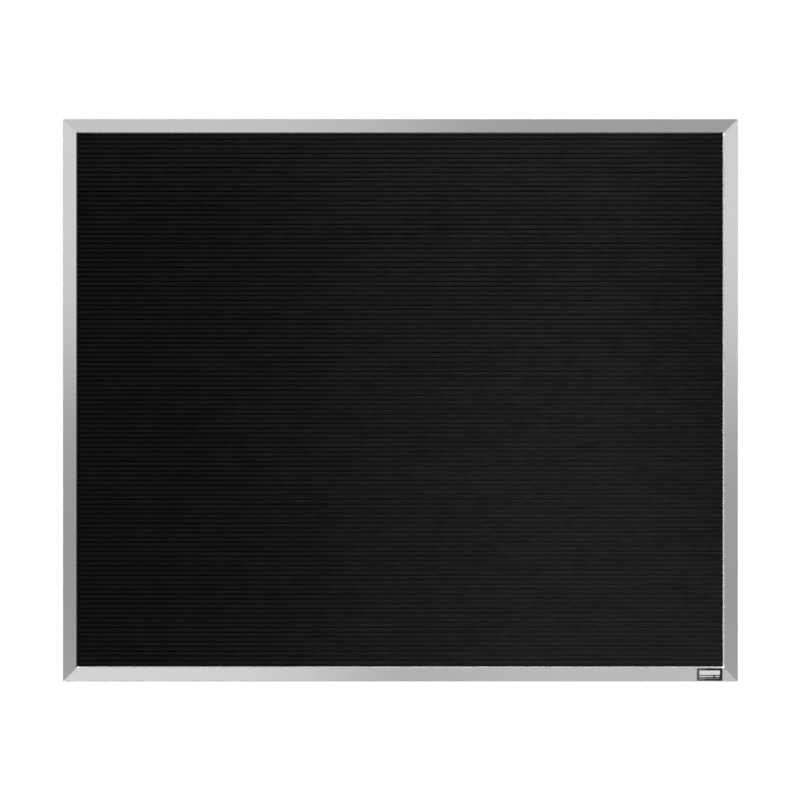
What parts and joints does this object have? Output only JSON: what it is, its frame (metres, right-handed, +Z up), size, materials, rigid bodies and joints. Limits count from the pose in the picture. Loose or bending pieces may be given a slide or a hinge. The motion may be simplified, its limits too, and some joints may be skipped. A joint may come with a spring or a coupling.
{
  "type": "changeable letter board",
  "caption": "Open-face letter board: a black felt panel whose horizontal grooves grip push-in letters, in a mitred satin aluminium frame that hangs on a wall by keyholes.",
  "frame": {"origin": "middle of the board's overall width, height and depth", "axes": "+X to the right as seen from the front, along the longest side; +Y into the wall, the front faces -Y; +Z up"},
  "size_m": [0.9144, 0.0252, 0.762],
  "materials": {
    "satin_aluminium": "satin anodised, brushed along each rail",
    "black_felt": "matt felt with a short nap",
    "fibreboard": "sawn brown fibreboard",
    "hardboard": "smooth dark brown hardboard",
    "zinc_plated_steel": "bright zinc plate, slightly cloudy",
    "screw_steel": "plated steel",
    "bumper_rubber": "matt dark grey",
    "label_film": "black printed film, half matt"
  },
  "bodies": {
    "root": {"frame_rail_top": "satin_aluminium", "frame_rail_bottom": "satin_aluminium", "frame_rail_left": "satin_aluminium", "frame_rail_right": "satin_aluminium", "felt_facing": "black_felt", "grooved_core": "fibreboard", "backing_board": "hardboard", "corner_key_top_left": "zinc_plated_steel", "corner_key_top_right": "zinc_plated_steel", "corner_key_bottom_left": "zinc_plated_steel", "corner_key_bottom_right": "zinc_plated_steel", "corner_shim_top_left": "zinc_plated_steel", "corner_shim_top_right": "zinc_plated_steel", "corner_shim_bottom_left": "zinc_plated_steel", "corner_shim_bottom_right": "zinc_plated_steel", "set_screw_top_left_across": "screw_steel", "set_screw_top_left_upright": "screw_steel", "set_screw_top_right_across": "screw_steel", "set_screw_top_right_upright": "screw_steel", "set_screw_bottom_left_across": "screw_steel", "set_screw_bottom_left_upright": "screw_steel", "set_screw_bottom_right_across": "screw_steel", "set_screw_bottom_right_upright": "screw_steel", "hanger_plate_left": "zinc_plated_steel", "hanger_plate_right": "zinc_plated_steel", "hanger_nut_bar_left": "zinc_plated_steel", "hanger_nut_bar_right": "zinc_plated_steel", "hanger_screw_left_outer": "screw_steel", "hanger_screw_left_inner": "screw_steel", "hanger_screw_right_outer": "screw_steel", "hanger_screw_right_inner": "screw_steel", "wall_bumper_left": "bumper_rubber", "wall_bumper_right": "bumper_rubber", "corner_label": "label_film"}
  },
  "joints": []
}
